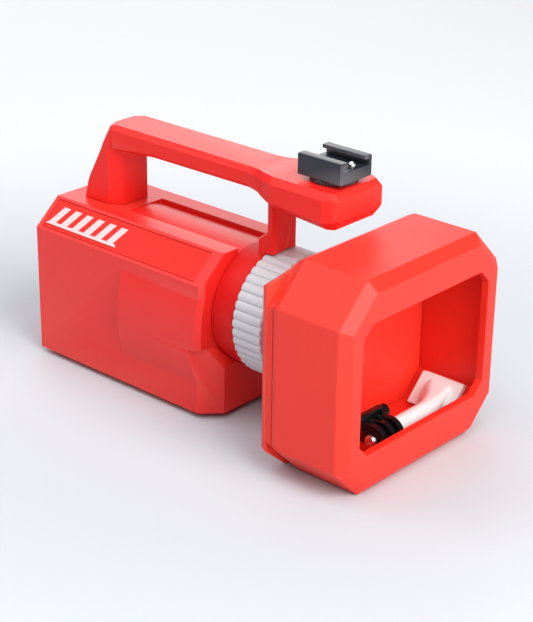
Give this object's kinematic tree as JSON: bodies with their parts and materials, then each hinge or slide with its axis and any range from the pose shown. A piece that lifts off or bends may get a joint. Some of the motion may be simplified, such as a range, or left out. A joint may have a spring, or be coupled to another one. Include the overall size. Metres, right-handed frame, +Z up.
{
  "type": "camcorder-style rig for an action camera",
  "caption": "Printed rig that turns an action camera into a camcorder shape: box hood with a pivoting mount, turning grip ring, hollow body, top handle and accessory shoe.",
  "frame": {"origin": "centre of the bounding box's underside, level with the base plate and the hood's lower face", "axes": "-Y out of the hood's opening, +Y towards the body's rear wall, +Z up, +X towards the side the camera bracket is fixed to"},
  "size_m": [0.117, 0.224, 0.1405],
  "materials": {
    "body_red": "satin 3-D print, fine layer lines",
    "hood_red": "satin 3-D print, fine layer lines",
    "handle_red": "satin 3-D print, fine layer lines",
    "ring_white": "matt 3-D print, ribbed",
    "arm_white": "smooth satin",
    "white_mark": "matt ink",
    "foam_pad": "adhesive foam",
    "shoe_black": "black anodised, fine grain",
    "prong_black": "gloss moulded",
    "screw_steel": "zinc plated",
    "bright_steel": "polished",
    "brass_insert": "machined"
  },
  "bodies": {
    "rig": {"body_shell": "body_red", "label_panel": "body_red", "label_mark": "white_mark", "base_plate": "body_red", "base_screw_1": "screw_steel", "base_screw_2": "screw_steel", "base_screw_3": "screw_steel", "base_screw_4": "screw_steel", "tripod_insert": "brass_insert", "barrel_tube": "body_red", "barrel_screw_1": "screw_steel", "barrel_screw_2": "screw_steel", "barrel_screw_3": "screw_steel", "barrel_screw_4": "screw_steel", "hood_shell": "hood_red", "hood_back_frame": "hood_red", "frame_screw_1": "screw_steel", "frame_screw_2": "screw_steel", "frame_screw_3": "screw_steel", "frame_screw_4": "screw_steel", "hood_neck": "body_red", "neck_screw_1": "screw_steel", "neck_screw_2": "screw_steel", "neck_screw_3": "screw_steel", "neck_set_screw": "screw_steel", "handle": "handle_red", "handle_screw_1": "screw_steel", "handle_screw_2": "screw_steel", "handle_screw_3": "screw_steel", "handle_insert_1": "brass_insert", "handle_insert_2": "brass_insert", "handle_insert_3": "brass_insert", "shoe_insert": "brass_insert", "shoe_stud": "screw_steel", "adhesive_pad": "foam_pad", "mount_arm": "arm_white", "mount_nut": "screw_steel"},
    "ring": {"knurled_ring": "ring_white"},
    "prongs": {"prong_mount": "prong_black"},
    "clamp_screw": {"mount_screw": "bright_steel"},
    "shoe": {"shoe_body": "shoe_black", "shoe_stop_screw": "bright_steel"},
    "lock_disc": {"shoe_lock_disc": "shoe_black"}
  },
  "joints": [
    {"name": "ring_turn", "type": "hinge", "parent": "rig", "child": "ring", "pos_m": [0, -0.02965, 0.053], "axis": [0, 1, 0], "continuous": true},
    {"name": "prong_tilt", "type": "hinge", "parent": "rig", "child": "prongs", "pos_m": [-0.0119, -0.0978, 0.0156], "axis": [1, 0, 0], "range_deg": [-35, 75]},
    {"name": "clamp_screw_turn", "type": "hinge", "parent": "rig", "child": "clamp_screw", "pos_m": [-0.022, -0.0978, 0.0156], "axis": [1, 0, 0], "continuous": true},
    {"name": "shoe_turn", "type": "hinge", "parent": "rig", "child": "shoe", "pos_m": [0, -0.05475, 0.1303], "axis": [0, 0, 1], "continuous": true},
    {"name": "lock_disc_turn", "type": "hinge", "parent": "rig", "child": "lock_disc", "pos_m": [0, -0.05475, 0.1282], "axis": [0, 0, 1], "continuous": true}
  ]
}
